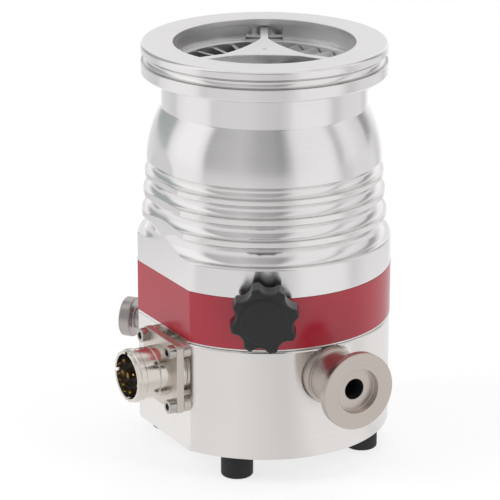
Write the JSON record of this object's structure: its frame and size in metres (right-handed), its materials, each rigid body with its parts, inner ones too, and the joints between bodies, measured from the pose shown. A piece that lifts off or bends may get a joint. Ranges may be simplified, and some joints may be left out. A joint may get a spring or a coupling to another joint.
{
  "type": "turbomolecular pump",
  "caption": "High-vacuum pump: round flanged housing, bladed rotor under a star bearing, foreline port, vent knob, control connector and rubber feet.",
  "frame": {"origin": "centre of the inlet flange's sealing face, on the rotor's axis", "axes": "+Z along the rotor's axis, out of the inlet; -Y out of the foreline port; -X out of the connector"},
  "size_m": [0.1147, 0.1214, 0.1625],
  "materials": {
    "housing_aluminium": "fine turned",
    "base_aluminium": "fine turned",
    "red_band": "satin red",
    "star_aluminium": "milled",
    "rotor_aluminium": "milled",
    "spacer_aluminium": "turned bright",
    "stator_aluminium": "stamped",
    "foreline_steel": "turned stainless",
    "screw_steel": "stainless",
    "shaft_steel": "ground",
    "bearing_steel": "polished",
    "plate_metal": "nickel satin",
    "shell_nickel": "nickel plated",
    "pin_gold": "gold plated",
    "insert_black": "moulded",
    "knob_black": "moulded",
    "cap_black": "moulded",
    "foot_rubber": "moulded",
    "seal_rubber": "moulded",
    "magnet_grey": "ground",
    "motor_core": "laminated, potted",
    "cage_plastic": "machined",
    "wick_felt": "felt",
    "plug_steel": "turned"
  },
  "bodies": {
    "housing": {"pump_housing": "housing_aluminium", "colour_band": "red_band", "base_body": "base_aluminium", "housing_o_ring": "seal_rubber", "housing_screws": "screw_steel", "bearing_star": "star_aluminium", "star_magnets": "magnet_grey", "safety_bearing": "bearing_steel", "spacer_ring_1": "spacer_aluminium", "spacer_ring_2": "spacer_aluminium", "spacer_ring_3": "spacer_aluminium", "spacer_ring_4": "spacer_aluminium", "spacer_ring_5": "spacer_aluminium", "stator_disc_1": "stator_aluminium", "stator_disc_2": "stator_aluminium", "stator_disc_3": "stator_aluminium", "stator_disc_4": "stator_aluminium", "holweck_stator": "spacer_aluminium", "motor_stator": "motor_core", "bearing_outer_ring": "bearing_steel", "bearing_damper": "seal_rubber", "wick_reservoir": "wick_felt", "base_cover": "base_aluminium", "cover_o_ring": "seal_rubber", "rubber_foot_1": "foot_rubber", "rubber_foot_2": "foot_rubber", "rubber_foot_3": "foot_rubber", "rubber_foot_4": "foot_rubber", "foreline_port": "foreline_steel", "foreline_port_seal": "seal_rubber", "connector_plate": "plate_metal", "connector_shell": "shell_nickel", "connector_insert": "insert_black", "connector_pins": "pin_gold", "connector_spacers": "plate_metal", "connector_screws": "screw_steel", "purge_plug": "plug_steel", "purge_plug_seal": "seal_rubber"},
    "rotor": {"rotor": "rotor_aluminium", "rotor_shaft": "shaft_steel", "rotor_magnet_rings": "magnet_grey", "holweck_sleeve": "rotor_aluminium", "motor_magnet": "magnet_grey", "bearing_inner_ring": "bearing_steel", "splash_nut": "shaft_steel"},
    "bearing_cage": {"bearing_cage": "cage_plastic", "bearing_balls": "bearing_steel"},
    "vent_seal": {"vent_o_ring": "seal_rubber"},
    "vent_knob": {"vent_knob": "knob_black", "vent_spindle": "screw_steel", "knob_cap": "cap_black"}
  },
  "joints": [
    {"name": "rotor_spin", "type": "hinge", "parent": "housing", "child": "rotor", "pos_m": [0, 0, -0.1385], "axis": [0, 0, 1], "continuous": true},
    {"name": "cage_spin", "type": "hinge", "parent": "housing", "child": "bearing_cage", "pos_m": [0, 0, -0.1385], "axis": [0, 0, 1], "continuous": true},
    {"name": "vent_travel", "type": "slide", "parent": "housing", "child": "vent_seal", "axis": [-0.5, -0.866, 0], "range_m": [0, 0.000907]},
    {"name": "vent_turn", "type": "hinge", "parent": "vent_seal", "child": "vent_knob", "pos_m": [-0.025, -0.0433, -0.0916], "axis": [-0.5, -0.866, 0], "range_deg": [0, 360]}
  ],
  "couplings": [
    {"joint": "cage_spin", "follows": "rotor_spin", "ratio": 0.398},
    {"joint": "vent_travel", "follows": "vent_turn", "m_per_rad": 0.00014435}
  ]
}
